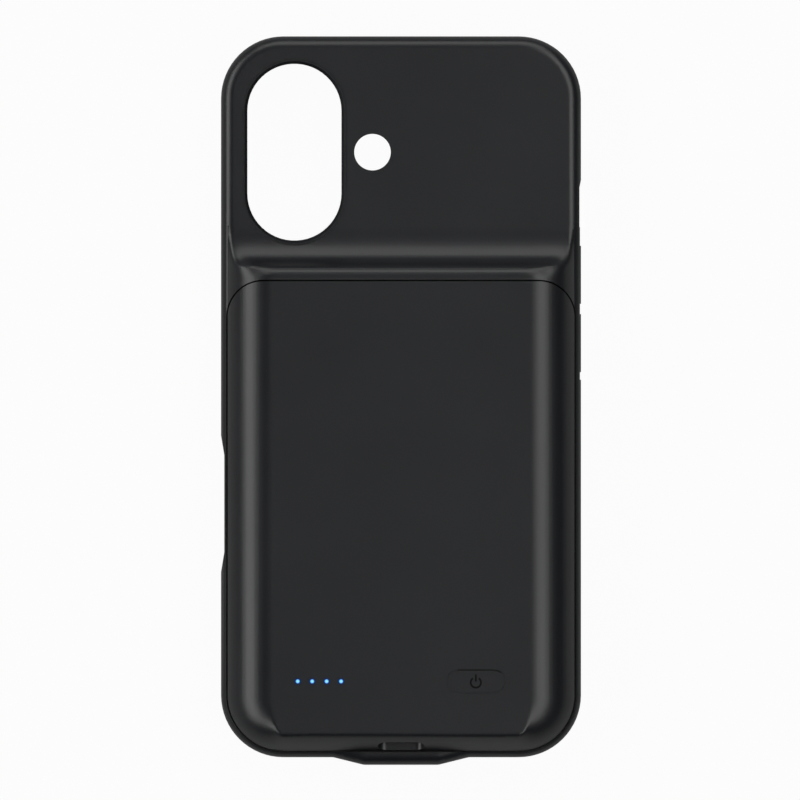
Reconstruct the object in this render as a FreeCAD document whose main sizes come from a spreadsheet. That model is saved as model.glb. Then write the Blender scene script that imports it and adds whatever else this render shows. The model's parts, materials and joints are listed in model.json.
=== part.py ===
"""Clip-on battery case for a phone: a bumper that grips the phone, with a battery under a back cover.

Frame: X across, Y along (camera end at +Y), Z out of the back. The front rim lies on Z = 0 and the
origin is the centre of the footprint. Millimetres.
"""
import FreeCAD
import Part
import Sketcher
import math
import os

SHEET = "dim"
EDGE_SLACK = 0.01

# Driving dimensions, one row each: name, value, what it measures.
DIMENSIONS = (
    ("case_width", 75.8, "outside width across X"),
    ("case_length", 151.8, "outside length along Y without the bottom lip"),
    ("bulge_rise", 5.9, "back wall of the camera end to the flat of the back cover"),
    ("case_corner", 13.1, "plan radius of the outside corners"),
    ("wall", 2.1, "thickness of the bumper's side walls"),
    ("rim_height", 1.2, "thickness of the front rim"),
    ("rim_overhang", 1.3, "how far the front rim reaches over the phone"),
    ("front_bevel", 0.6, "bevel of the front rim's outer edge"),
    ("back_round", 2.7, "edge radius of the back of the bumper"),
    ("phone_depth", 7.9, "depth of the phone pocket"),
    ("back_wall", 2.0, "thickness of the back wall at the camera end"),
    ("lip_drop", 1.6, "how far the bottom lip stands out"),
    ("lip_half_base", 14.3, "half width of the lip at the wall"),
    ("lip_half_tip", 7.85, "half width of the lip's flat"),
    ("lip_height", 7.2, "height of the lip along Z"),
    ("lip_round", 2.4, "radius that blends the lip into the wall"),
    ("seam_inset", 1.1, "outside edge to the seam round the back cover"),
    ("camera_end", 51.3, "length of the camera end, from the top to the seam"),
    ("seam_top_corner", 7.8, "plan radius of the seam's top corners"),
    ("seam_gap", 0.3, "width of the seam groove"),
    ("plate_fit", 0.15, "play of the inner plate in its bay"),
    ("plate_thick", 1.0, "thickness of the inner plate"),
    ("plate_tuck", 2.0, "how far the inner plate reaches under the camera end"),
    ("sweep_width", 9.3, "width of the cover's curved flank"),
    ("seam_drop", 0.2, "back wall of the camera end to the cover's edge at the seam"),
    ("tail_run", 2.7, "how far the cover's bottom face leans over its height"),
    ("tail_corner", 13.7, "plan radius of the cover's bottom corners at the level of the flat"),
    ("cavity_corner", 6.0, "plan radius of the bottom corners under the cover's flat"),
    ("cover_wall", 1.2, "wall thickness of the back cover"),
    ("ramp_tilt", 65.0, "steepest tilt of the ramp in degrees"),
    ("ramp_ease", 28.0, "tilt in degrees where the ramp's hollow eases into its run-out"),
    ("ramp_crest", 3.0, "radius of the crest of the ramp"),
    ("ramp_run_out", 2.0, "radius of the run-out for one of the hollow"),
    ("ramp_flat", 0.46, "level strip between the seam and the crest"),
    ("camera_x", -22.44, "centre of the camera window"),
    ("camera_drop", 24.4, "centre of the camera and flash windows below the top"),
    ("camera_width", 19.8, "width of the camera window"),
    ("camera_length", 37.2, "length of the camera window"),
    ("window_rim", 1.1, "width of the sunk rim round the camera window"),
    ("window_step", 0.3, "back of the camera end down to that rim"),
    ("window_bevel", 0.6, "bevel from the rim into the camera window"),
    ("flash_x", -6.0, "centre of the flash window"),
    ("flash_width", 7.7, "diameter of the flash window"),
    ("key_lift", 3.95, "front rim to the middle of the keys, the slots and the plug"),
    ("key_height", 4.3, "height of the key covers along Z"),
    ("key_gap", 0.25, "gap round a key cover"),
    ("key_flange", 0.8, "how far the key's flange reaches behind the wall"),
    ("key_flange_thick", 0.6, "thickness of the key's flange"),
    ("key_travel", 0.3, "travel of the keys and of the power button"),
    ("run_gap", 0.15, "running gap behind a flange"),
    ("side_key_drop", 57.3, "centre of the side key below the top"),
    ("side_key_length", 19.0, "length of the side key"),
    ("volume_up_drop", 50.2, "centre of the upper volume key below the top"),
    ("volume_down_drop", 64.6, "centre of the lower volume key below the top"),
    ("volume_key_length", 12.2, "length of a volume key"),
    ("key_field_depth", 0.22, "how far the wall round the volume keys is set back"),
    ("key_field_margin", 1.6, "wall set back beyond the volume keys"),
    ("touch_slot_drop", 98.4, "centre of the touch key slot below the top"),
    ("touch_slot_length", 18.6, "length of the touch key slot"),
    ("scallop_depth", 0.7, "depth of the scallop round the touch key slot"),
    ("scallop_flat", 20.4, "length of the scallop's floor"),
    ("scallop_run", 4.2, "length of the scallop's sloped ends"),
    ("right_slot_drop", 36.0, "centre of the right key slot below the top"),
    ("right_slot_length", 7.6, "length of the key slot on the right"),
    ("right_scallop_flat", 8.4, "length of the right scallop's floor"),
    ("right_scallop_depth", 0.32, "depth of the right scallop"),
    ("slot_height", 4.6, "height of the slots through the walls"),
    ("sound_x", 19.6, "centre of a sound slot from the middle"),
    ("sound_length", 10.0, "length of a sound slot"),
    ("button_inset", 11.46, "side of the flat to the centre of the power button"),
    ("panel_inset", 11.96, "bottom of the flat to the power button and the status lights"),
    ("button_length", 11.9, "length of the power button"),
    ("button_width", 4.45, "width of the power button"),
    ("button_gap", 0.3, "gap round the power button"),
    ("button_sink", 0.1, "how far the power button lies below the flat"),
    ("button_flange", 0.8, "how far the button's flange reaches under the cover"),
    ("button_flange_thick", 0.7, "thickness of the button's flange"),
    ("button_stem", 3.0, "diameter of the stem under the button"),
    ("light_inset", 10.04, "side of the flat to the middle of the row of status lights"),
    ("light_pitch", 3.04, "spacing of the status lights"),
    ("light_width", 0.9, "diameter of a status light"),
    ("light_fit", 0.05, "play round a light pin"),
    ("light_bar_thick", 0.8, "thickness of the bar that joins the light pins"),
    ("light_bar_margin", 1.4, "bar beyond the outer pins"),
    ("port_width", 9.8, "width of the charge opening"),
    ("port_height", 3.7, "height of the charge opening"),
    ("peg_width", 2.6, "diameter of the pegs under the main board"),
    ("peg_height", 0.42, "height of the pegs under the main board"),
    ("board_thick", 1.0, "thickness of the main board"),
    ("board_inset", 9.6, "side of the cover to the main board"),
    ("board_setback", 2.4, "bottom of the cover to the main board"),
    ("board_length", 17.0, "length of the main board"),
    ("board_peg_inset", 3.0, "peg centres from the board's edges"),
    ("cell_gap", 4.1, "main board to the battery cell"),
    ("cell_end_gap", 1.3, "battery cell to the cover's end wall"),
    ("cell_inset", 7.5, "side of the cover to the battery cell"),
    ("cushion_thick", 0.7, "thickness of the cushion over the cell"),
    ("cell_corner", 1.8, "edge radius of the battery cell"),
    ("adhesive_thick", 0.3, "thickness of the adhesive under the cell"),
    ("adhesive_margin", 4.0, "cell edge to adhesive edge"),
    ("cushion_play", 0.1, "space over the cushion"),
    ("cushion_margin", 7.0, "cell edge to cushion edge"),
    ("tab_width", 4.0, "width of a cell tab"),
    ("tab_thick", 0.2, "thickness of a cell tab"),
    ("tab_length", 1.6, "length of a cell tab"),
    ("tab_x", 9.0, "centre of a cell tab from the middle"),
    ("guard_half_width", 14.0, "half width of the protection board"),
    ("guard_length", 2.4, "length of the protection board"),
    ("guard_thick", 0.8, "thickness of the protection board"),
    ("lead_width", 1.2, "diameter of a lead"),
    ("lead_x", 4.0, "centre of a lead from the middle"),
    ("lead_overlap", 1.5, "length of a lead on each board"),
    ("socket_width", 8.94, "width of the charge socket shell"),
    ("socket_height", 3.26, "height of the charge socket shell"),
    ("socket_length", 7.3, "length of the charge socket shell"),
    ("socket_wall", 0.3, "sheet thickness of the socket and plug shells"),
    ("socket_reach", 0.35, "how far the socket stands out past the board"),
    ("tongue_width", 6.7, "width of the socket's tongue"),
    ("tongue_thick", 0.7, "thickness of the socket's tongue"),
    ("tongue_setback", 0.8, "socket mouth to the tip of the tongue"),
    ("socket_back", 1.5, "thickness of the socket's back"),
    ("plug_width", 8.25, "width of the phone plug"),
    ("plug_height", 2.4, "height of the phone plug"),
    ("plug_length", 6.5, "how far the phone plug stands in the pocket"),
    ("plug_cavity", 4.6, "width of the hollow between the contacts' rows"),
    ("plug_mouth", 0.7, "height of the plug's hollow"),
    ("plug_mouth_depth", 5.0, "depth of the plug's hollow"),
    ("block_width", 18.0, "width of the block that carries the plug"),
    ("block_height", 5.6, "height of the block that carries the plug"),
    ("block_depth", 2.4, "thickness of the block along Y"),
    ("flex_half_width", 3.0, "half width of the flat lead from plug to board"),
    ("flex_thick", 0.16, "thickness of the flat lead"),
    ("flex_play", 0.25, "space round the flat lead"),
    ("flex_setback", 0.5, "pocket's end wall to the flat lead in the wall"),
    ("flex_rise_y", 1.6, "board's bottom edge to where the flat lead comes up"),
    ("switch_width", 5.2, "width and length of the switch"),
    ("switch_height", 1.5, "height of the switch's case"),
    ("plunger_width", 1.8, "diameter of the switch plunger"),
    ("plunger_fit", 0.12, "play round the plunger"),
    ("plunger_proud", 0.45, "how far the plunger stands out of the switch"),
    ("plunger_depth", 0.6, "how far the plunger reaches into the switch"),
    ("led_width", 1.2, "width and length of a status light's chip"),
    ("led_height", 0.6, "height of a status light's chip"),
    ("led_gap", 0.2, "chip to light bar"),
    ("coil_width", 6.0, "width and length of the inductor"),
    ("coil_height", 2.8, "height of the inductor"),
    ("chip_width", 5.0, "width and length of the controller"),
    ("chip_height", 0.9, "height of the controller"),
    ("chip_gap", 2.7, "light bar to the controller"),
    ("capacitor_width", 1.6, "width of a capacitor"),
    ("capacitor_length", 3.2, "length of a capacitor"),
    ("capacitor_height", 1.4, "height of a capacitor"),
    ("capacitor_pitch", 4.0, "spacing of the capacitors"),
    ("capacitor_inset", 5.9, "side of the main board to the middle capacitor"),
    ("capacitor_lift", 5.3, "bottom of the main board to the capacitors"),
)

doc = FreeCAD.newDocument("battery_case")
sheet = doc.addObject("Spreadsheet::Sheet", SHEET)
for row, (alias, value, meaning) in enumerate(DIMENSIONS, start=1):
    sheet.set(f"A{row}", meaning)
    sheet.set(f"B{row}", str(value))
    sheet.setAlias(f"B{row}", alias)
doc.recompute()


def size(text):
    """Turn a formula of sheet names into an expression that other objects can be bound to."""
    names = {alias for alias, _, _ in DIMENSIONS}
    word = ""
    out = ""
    for letter in text + " ":
        if letter.isalpha() or letter == "_" or (word and letter.isdigit()):
            word += letter
            continue
        out += f"{SHEET}.{word}" if word in names else word
        out += letter
        word = ""
    return out.strip()


def number(text):
    """Value of a formula of sheet names, as a plain number."""
    result = sheet.evalExpression(size(text).replace(f"{SHEET}.", ""))
    return float(getattr(result, "Value", result))


# Levels and lines that several pieces share, as formulas of the sheet's names.
SIDE = "(case_width / 2)"
TOP = "((case_length + lip_drop) / 2)"
BOTTOM = f"({TOP} - case_length)"
LIP_TIP = f"({BOTTOM} - lip_drop)"
SEAM_TOP = f"({TOP} - camera_end)"
CAMERA_Y = f"({TOP} - camera_drop)"
SIDE_KEY_Y = f"({TOP} - side_key_drop)"
VOLUME_UP_Y = f"({TOP} - volume_up_drop)"
VOLUME_DOWN_Y = f"({TOP} - volume_down_drop)"
TOUCH_SLOT_Y = f"({TOP} - touch_slot_drop)"
RIGHT_SLOT_Y = f"({TOP} - right_slot_drop)"
KEY_Z = "(rim_height + key_lift)"
POCKET_SIDE = f"({SIDE} - wall)"
POCKET_TOP = f"({TOP} - wall)"
POCKET_BOTTOM = f"({BOTTOM} + wall)"
POCKET_CORNER = "(case_corner - wall)"
PLATE_Z = "(rim_height + phone_depth)"
PLATEAU_Z = f"({PLATE_Z} + back_wall)"
FLAT_Z = f"({PLATEAU_Z} + bulge_rise)"
SWEEP_RISE = "(bulge_rise + seam_drop)"
BAY_Z = f"({PLATE_Z} + plate_thick)"
SEAM_SIDE = f"({SIDE} - seam_inset)"
SEAM_BOTTOM = f"({BOTTOM} + seam_inset)"
SEAM_CORNER = "(case_corner - seam_inset)"
TUCK_TOP = f"({SEAM_TOP} + plate_tuck)"
TUCK_CORNER = "(seam_top_corner + plate_tuck)"
COVER_SIDE = f"({SEAM_SIDE} - seam_gap)"
COVER_BOTTOM = f"({SEAM_BOTTOM} + seam_gap)"
COVER_TOP = f"({SEAM_TOP} - seam_gap)"
COVER_CORNER = f"({SEAM_CORNER} - seam_gap)"
COVER_TOP_CORNER = "(seam_top_corner - seam_gap)"
COVER_EDGE_Z = f"({FLAT_Z} - {SWEEP_RISE})"
CEILING_Z = f"({FLAT_Z} - cover_wall)"
FLAT_SIDE = f"({COVER_SIDE} - sweep_width)"
FLAT_BOTTOM = f"({COVER_BOTTOM} + tail_run)"
PANEL_Y = f"({FLAT_BOTTOM} + panel_inset)"
BUTTON_X = f"({FLAT_SIDE} - button_inset)"
LIGHT_X = f"(light_inset - {FLAT_SIDE})"
SWEEP_RADIUS = f"((sweep_width ^ 2 + {SWEEP_RISE} ^ 2) / (2 * {SWEEP_RISE}))"
SWEEP_TILT = f"(2 * atan({SWEEP_RISE} / sweep_width))"
CREST_Y = f"({SEAM_TOP} + ramp_flat)"
RAMP_Y = f"({CREST_Y} + ramp_crest * sin(ramp_tilt))"
RAMP_Z = f"({FLAT_Z} - ramp_crest * (1 - cos(ramp_tilt)))"
EASE_RISE = "(1 - cos(ramp_ease))"
RAMP_HOLLOW = (f"((bulge_rise - ramp_crest * (1 - cos(ramp_tilt)))"
               f" / (cos(ramp_ease) - cos(ramp_tilt) + ramp_run_out * {EASE_RISE}))")
RUN_OUT = f"(ramp_run_out * {RAMP_HOLLOW})"
EASE_Y = f"({RAMP_Y} + {RAMP_HOLLOW} * (sin(ramp_tilt) - sin(ramp_ease)))"
EASE_Z = f"({PLATEAU_Z} + {RUN_OUT} * {EASE_RISE})"
FOOT_Y = f"({EASE_Y} + {RUN_OUT} * sin(ramp_ease))"
BOARD_Z = f"({BAY_Z} + peg_height)"
BOARD_TOP_Z = f"({BOARD_Z} + board_thick)"
BOARD_SIDE = f"({COVER_SIDE} - board_inset)"
BOARD_BOTTOM = f"({COVER_BOTTOM} + board_setback)"
CAPACITOR_X = f"({BOARD_SIDE} - capacitor_inset)"
CAPACITOR_Y = f"({BOARD_BOTTOM} + capacitor_lift)"
BOARD_TOP_Y = f"({BOARD_BOTTOM} + board_length)"
CELL_Z = f"({BAY_Z} + adhesive_thick)"
CELL_TOP_Z = f"({CEILING_Z} - cushion_play - cushion_thick)"
CELL_BOTTOM = f"({BOARD_TOP_Y} + cell_gap)"
CELL_TOP_Y = f"({COVER_TOP} - cover_wall - cell_end_gap)"
CELL_SIDE = f"({COVER_SIDE} - cell_inset)"
SOCKET_Z = f"({BOARD_TOP_Z} + socket_height / 2)"
SOCKET_MOUTH = f"({BOARD_BOTTOM} - socket_reach)"
PLUG_BASE = f"({POCKET_BOTTOM} - block_depth)"
FLEX_Z = f"({PLATE_Z} + flex_play)"
FLEX_WALL_Y = f"({POCKET_BOTTOM} - flex_setback)"
FLEX_RISE_Y = f"({BOARD_BOTTOM} + flex_rise_y)"
BUTTON_TOP_Z = f"({FLAT_Z} - button_sink)"
FLANGE_TOP_Z = f"({CEILING_Z} - run_gap)"
FLANGE_Z = f"({FLANGE_TOP_Z} - button_flange_thick)"
SWITCH_TOP_Z = f"({BOARD_TOP_Z} + switch_height)"
PLUNGER_TOP_Z = f"({SWITCH_TOP_Z} + plunger_proud)"
LED_TOP_Z = f"({BOARD_TOP_Z} + led_height)"
LIGHT_BAR_Z = f"({LED_TOP_Z} + led_gap)"
GUARD_Y = f"({CELL_BOTTOM} - tab_length)"
KEY_INNER = f"({POCKET_SIDE} + key_travel + run_gap)"
KEY_FLANGE_OUTER = f"({KEY_INNER} + key_flange_thick)"
LIGHTS = range(4)
CAPACITORS = range(3)


def light_x(index):
    """X of one status light, counted from the left."""
    return f"({LIGHT_X} + {index - (len(LIGHTS) - 1) / 2} * light_pitch)"


def arc_between(start, end, radius, turn):
    """Arc of less than half a circle from start to end, counter-clockwise where turn is 1."""
    chord = end - start
    across = FreeCAD.Vector(-chord.y, chord.x, 0).normalize()
    centre = (start + end) / 2 + across * turn * math.sqrt(radius ** 2 - chord.Length ** 2 / 4)
    ring = Part.Circle(centre, FreeCAD.Vector(0, 0, 1), radius)
    low, high = (start, end) if turn > 0 else (end, start)
    return Part.ArcOfCircle(ring, ring.parameter(low), ring.parameter(high))


class Profile:
    """A fully constrained sketch whose dimensions are bound to the sheet."""

    def __init__(self, sketch):
        self.sketch = sketch

    def _bind(self, kind, *items):
        """Add one dimension: the last item is its formula."""
        *places, formula = items
        index = self.sketch.addConstraint(Sketcher.Constraint(kind, *places, number(formula)))
        self.sketch.setExpression(f"Constraints[{index}]", size(formula))

    def _add(self, kind, *places):
        self.sketch.addConstraint(Sketcher.Constraint(kind, *places))

    def path(self, points, bends):
        """Closed outline through points given as pairs of formulas.

        bends holds the runs that are arcs: the run's number, with its radius and its turn, which is 1 for
        counter-clockwise and -1 for clockwise.
        """
        spots = [FreeCAD.Vector(number(x), number(y), 0) for x, y in points]
        first = self.sketch.GeometryCount
        ends = []
        for index, spot in enumerate(spots):
            far = spots[(index + 1) % len(spots)]
            radius, turn = bends.get(index, (None, 1))
            run = arc_between(spot, far, number(radius), turn) if radius else Part.LineSegment(spot, far)
            self.sketch.addGeometry(run, False)
            ends.append((1, 2) if turn > 0 else (2, 1))
        for index, (x, y) in enumerate(points):
            after = (index + 1) % len(points)
            self._add("Coincident", first + index, ends[index][1], first + after, ends[after][0])
            self._bind("DistanceX", -1, 1, first + index, ends[index][0], x)
            self._bind("DistanceY", -1, 1, first + index, ends[index][0], y)
        for index, (radius, _) in bends.items():
            self._bind("Radius", first + index, radius)
        return self

    def polygon(self, points):
        """Closed outline of straight runs through points given as pairs of formulas."""
        return self.path(points, {})

    def box(self, left, right, low, high):
        """Rectangle between four formulas."""
        return self.polygon([(left, low), (right, low), (right, high), (left, high)])

    def centred(self, x, y, width, height):
        """Rectangle about a centre."""
        return self.box(f"({x}) - ({width}) / 2", f"({x}) + ({width}) / 2",
                        f"({y}) - ({height}) / 2", f"({y}) + ({height}) / 2")

    def circle(self, x, y, diameter):
        """Circle about a centre."""
        centre = FreeCAD.Vector(number(x), number(y), 0)
        radius = f"({diameter}) / 2"
        index = self.sketch.addGeometry(Part.Circle(centre, FreeCAD.Vector(0, 0, 1), number(radius)), False)
        self._bind("DistanceX", -1, 1, index, 3, x)
        self._bind("DistanceY", -1, 1, index, 3, y)
        self._bind("Radius", index, radius)
        return self

    def rounded(self, left, right, low, high, corner, top_corner=None):
        """Rectangle with round corners; the two top corners may have a radius of their own."""
        x0, x1, y0, y1 = number(left), number(right), number(low), number(high)
        top_formula = top_corner or corner
        r, q = number(corner), number(top_formula)
        runs = ((x0 + r, y0, x1 - r, y0), (x1, y0 + r, x1, y1 - q),
                (x1 - q, y1, x0 + q, y1), (x0, y1 - q, x0, y0 + r))
        bends = ((x1 - r, y0 + r, r, -90), (x1 - q, y1 - q, q, 0),
                 (x0 + q, y1 - q, q, 90), (x0 + r, y0 + r, r, 180))
        first = self.sketch.GeometryCount
        for (ax, ay, bx, by), (cx, cy, radius, start) in zip(runs, bends):
            self.sketch.addGeometry(
                Part.LineSegment(FreeCAD.Vector(ax, ay, 0), FreeCAD.Vector(bx, by, 0)), False)
            ring = Part.Circle(FreeCAD.Vector(cx, cy, 0), FreeCAD.Vector(0, 0, 1), radius)
            self.sketch.addGeometry(
                Part.ArcOfCircle(ring, math.radians(start), math.radians(start + 90)), False)
        for index in range(8):
            self._add("Tangent", first + index, 2, first + (index + 1) % 8, 1)
        for index, kind in ((0, "Horizontal"), (2, "Vertical"), (4, "Horizontal"), (6, "Vertical")):
            self._add(kind, first + index)
        self._add("Equal", first + 1, first + 7)
        self._add("Equal", first + 3, first + 5)
        self._bind("DistanceY", -1, 1, first, 1, low)
        self._bind("DistanceX", -1, 1, first + 2, 1, right)
        self._bind("DistanceY", -1, 1, first + 4, 1, high)
        self._bind("DistanceX", -1, 1, first + 6, 1, left)
        self._bind("Radius", first + 1, corner)
        self._bind("Radius", first + 3, top_formula)
        return self

    def stadium(self, x, y, width, height):
        """Slot with round ends about a centre, along its longer side."""
        wide, tall = number(width), number(height)
        along_x = wide >= tall
        r = min(wide, tall) / 2
        half = abs(wide - tall) / 2
        cx, cy = number(x), number(y)
        turn = 0 if along_x else 90
        spin = FreeCAD.Rotation(FreeCAD.Vector(0, 0, 1), turn)
        spot = FreeCAD.Vector(cx, cy, 0)

        def place(u, v):
            return spot + spin.multVec(FreeCAD.Vector(u, v, 0))

        first = self.sketch.GeometryCount
        for sign, start in ((1, -90), (-1, 90)):
            near_end, far_end = place(-sign * half, -sign * r), place(sign * half, -sign * r)
            self.sketch.addGeometry(Part.LineSegment(near_end, far_end), False)
            ring = Part.Circle(place(sign * half, 0), FreeCAD.Vector(0, 0, 1), r)
            angle = math.radians(start + turn)
            self.sketch.addGeometry(Part.ArcOfCircle(ring, angle, angle + math.pi), False)
        for index in range(4):
            self._add("Tangent", first + index, 2, first + (index + 1) % 4, 1)
        long_side, short_side = (width, height) if along_x else (height, width)
        reach = f"(({long_side}) - ({short_side})) / 2"
        for arc, sign in ((first + 1, "+"), (first + 3, "-")):
            self._bind("DistanceX", -1, 1, arc, 3, f"({x}) {sign} {reach}" if along_x else x)
            self._bind("DistanceY", -1, 1, arc, 3, y if along_x else f"({y}) {sign} {reach}")
        self._bind("Radius", first + 1, f"({short_side}) / 2")
        return self


class Piece:
    """One sub-part: a body whose features read their sizes from the sheet."""

    made = []

    def __init__(self, name):
        self.body = doc.addObject("PartDesign::Body", name)
        self.body.Label = name
        self.count = 0
        Piece.made.append(self)

    def _sketch(self, role, offset):
        """Sketch on one of the body's own planes, moved along the plane's normal."""
        self.count += 1
        sketch = self.body.newObject("Sketcher::SketchObject", f"{self.body.Label}_sketch_{self.count}")
        plane = next(item for item in self.body.Origin.OriginFeatures if item.Role == role)
        sketch.AttachmentSupport = [(plane, "")]
        sketch.MapMode = "FlatFace"
        sketch.setExpression("AttachmentOffset.Base.z", size(offset))
        return sketch

    def _feature(self, kind):
        self.count += 1
        return self.body.newObject(f"PartDesign::{kind}", f"{self.body.Label}_{kind.lower()}_{self.count}")

    def _extrude(self, kind, role, offset, length, draw):
        sketch = self._sketch(role, offset)
        draw(Profile(sketch))
        feature = self._feature(kind)
        feature.Profile = sketch
        feature.setExpression("Length", size(length))
        doc.recompute()
        return feature

    def pad(self, low, high, draw, role="XY_Plane"):
        """Material between two levels along the plane's axis. The XZ plane's normal is -Y."""
        start = f"-({high})" if role == "XZ_Plane" else low
        return self._extrude("Pad", role, start, f"({high}) - ({low})", draw)

    def pocket(self, low, high, draw, role="XY_Plane"):
        """Space between two levels along the plane's axis, cut against the plane's normal."""
        start = f"-({low})" if role == "XZ_Plane" else high
        return self._extrude("Pocket", role, start, f"({high}) - ({low})", draw)

    def loft(self, kind, sections):
        """Straight-lined body through level sections given as pairs of height and drawing function."""
        sketches = []
        for level, draw in sections:
            sketch = self._sketch("XY_Plane", level)
            draw(Profile(sketch))
            sketches.append(sketch)
        doc.recompute()
        feature = self._feature(kind)
        feature.Profile = sketches[0]
        feature.Sections = sketches[1:]
        feature.Ruled = True
        doc.recompute()
        return feature

    def edges(self, pick):
        """Names of the edges of the body so far that a test picks."""
        shape = self.body.Tip.Shape
        return [f"Edge{index}" for index, edge in enumerate(shape.Edges, start=1) if pick(edge.BoundBox)]

    def _dress(self, kind, prop, formula, pick):
        """Fillet or chamfer on the edges that a test picks by their bounding box."""
        base = self.body.Tip
        names = self.edges(pick)
        feature = self._feature(kind)
        feature.Base = (base, names)
        feature.setExpression(prop, size(formula))
        doc.recompute()
        return feature

    def fillet(self, formula, pick):
        """Round the edges that a test picks."""
        return self._dress("Fillet", "Radius", formula, pick)

    def chamfer(self, formula, pick):
        """Bevel the edges that a test picks."""
        return self._dress("Chamfer", "Size", formula, pick)


def near(value, formula):
    """Whether a measured value lies on a formula's level."""
    return abs(value - number(formula)) < EDGE_SLACK


def level_at(formula):
    """Test for edges that lie flat on one level."""
    return lambda box: near(box.ZMin, formula) and near(box.ZMax, formula)


def outline(side, low, high, corner, top_corner=None):
    """Drawing function of a rounded rectangle that is centred in X."""
    return lambda profile: profile.rounded(f"-{side}", side, low, high, corner, top_corner)


def cavity_sections(steps=3):
    """Level sections of the space under the back cover, one wall inside its flanks and its bottom face."""
    sections = []
    for step in range(steps + 1):
        tilt = f"({SWEEP_TILT} * {1 - step / steps})"
        radius = f"({SWEEP_RADIUS} - cover_wall)"
        side = f"({FLAT_SIDE} + {radius} * sin({tilt}))"
        level = f"({FLAT_Z} - {SWEEP_RADIUS} + {radius} * cos({tilt}))"
        lean = f"(tail_run * ({level} + cover_wall - {COVER_EDGE_Z}) / {SWEEP_RISE})"
        low = f"({COVER_BOTTOM} + cover_wall + {lean})"
        share = f"(({side} + cover_wall - {FLAT_SIDE}) / sweep_width)"
        corner = f"(cavity_corner + ({COVER_CORNER} - cavity_corner) * {share} - cover_wall)"
        sections.append((level, outline(
            side, low, f"{COVER_TOP} - cover_wall", corner, f"{COVER_TOP_CORNER} - cover_wall")))
    return sections


def bulge(profile):
    """Cross-section of the bulge over the battery: a flat back between round flanks."""
    profile.path([
        (f"-{COVER_SIDE}", PLATE_Z), (COVER_SIDE, PLATE_Z), (COVER_SIDE, COVER_EDGE_Z), (FLAT_SIDE, FLAT_Z),
        (f"-{FLAT_SIDE}", FLAT_Z), (f"-{COVER_SIDE}", COVER_EDGE_Z)],
        {2: (SWEEP_RADIUS, 1), 4: (SWEEP_RADIUS, 1)})


def beside_flanks(profile):
    """The two spaces that leave the cover's round flanks when they are cut away."""
    above = f"({FLAT_Z} + wall)"
    beyond = f"({COVER_SIDE} + wall)"
    for sign, turn in (("", 1), ("-", -1)):
        profile.path([
            (f"{sign}{COVER_SIDE}", COVER_EDGE_Z), (f"{sign}{FLAT_SIDE}", FLAT_Z),
            (f"{sign}{FLAT_SIDE}", above), (f"{sign}{beyond}", above), (f"{sign}{beyond}", COVER_EDGE_Z)],
            {0: (SWEEP_RADIUS, turn)})


def ramp(profile):
    """Side view of the space in front of the bulge: a round crest, a hollow and a run-out that ends level."""
    above = f"({FLAT_Z} + wall)"
    beyond = f"({FOOT_Y} + wall)"
    profile.path([
        (CREST_Y, FLAT_Z), (RAMP_Y, RAMP_Z), (EASE_Y, EASE_Z), (FOOT_Y, PLATEAU_Z), (beyond, PLATEAU_Z),
        (beyond, above), (CREST_Y, above)],
        {0: ("ramp_crest", -1), 1: (RAMP_HOLLOW, 1), 2: (RUN_OUT, 1)})


def make_bumper():
    """The moulding that grips the phone: band, camera end, ramp and shoulders in one piece."""
    bumper = Piece("bumper")
    bumper.pad("0", PLATEAU_Z, outline(SIDE, BOTTOM, TOP, "case_corner"))
    bumper.pad(f"{KEY_Z} - lip_height / 2", f"{KEY_Z} + lip_height / 2", lambda profile: profile.polygon([
        ("-lip_half_base", f"{BOTTOM} + wall / 2"), ("-lip_half_base", BOTTOM), ("-lip_half_tip", LIP_TIP),
        ("lip_half_tip", LIP_TIP), ("lip_half_base", BOTTOM), ("lip_half_base", f"{BOTTOM} + wall / 2")]))
    bumper.fillet("lip_round", lambda box: near(box.ZLength, "lip_height")
                  and box.YMax < number(BOTTOM) + EDGE_SLACK and box.XLength < EDGE_SLACK)
    bumper.fillet("back_round", level_at(PLATEAU_Z))
    bumper.chamfer("front_bevel", level_at("0"))
    bumper.pad(f"{SEAM_TOP} - seam_top_corner", FOOT_Y, bulge, "XZ_Plane")
    bumper.pocket(f"-{SIDE}", SIDE, ramp, "YZ_Plane")
    bumper.pocket(PLATE_Z, f"{FLAT_Z} + wall",
                  outline(SEAM_SIDE, SEAM_BOTTOM, SEAM_TOP, SEAM_CORNER, "seam_top_corner"))
    bumper.pocket(PLATE_Z, f"{BAY_Z} + plate_fit",
                  outline(SEAM_SIDE, SEAM_BOTTOM, TUCK_TOP, SEAM_CORNER, TUCK_CORNER))
    bumper.pocket("rim_height", PLATE_Z, outline(POCKET_SIDE, POCKET_BOTTOM, POCKET_TOP, POCKET_CORNER))
    bumper.pocket("-wall", "rim_height", outline(
        f"({POCKET_SIDE} - rim_overhang)", f"{POCKET_BOTTOM} + rim_overhang", f"{POCKET_TOP} - rim_overhang",
        f"{POCKET_CORNER} - rim_overhang"))
    cut_windows(bumper)
    cut_left_side(bumper)
    cut_right_side(bumper)
    cut_bottom(bumper)
    return bumper


def cut_windows(bumper):
    """Camera window with a sunk rim and a bevel, and a plain flash window, through the back wall."""
    floor = f"({PLATEAU_Z} - window_step)"

    def camera(spread):
        return lambda profile: profile.stadium(
            "camera_x", CAMERA_Y, f"camera_width + 2 * {spread}", f"camera_length + 2 * {spread}")

    bumper.pocket(floor, FLAT_Z, camera("window_rim"))
    bumper.pocket(PLATE_Z, floor, camera("0"))
    bumper.loft("SubtractiveLoft", [
        (f"{floor} - window_bevel", camera("0")), (floor, camera("window_bevel"))])
    bumper.pocket(PLATE_Z, PLATEAU_Z, lambda profile: profile.circle("flash_x", CAMERA_Y, "flash_width"))


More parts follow.
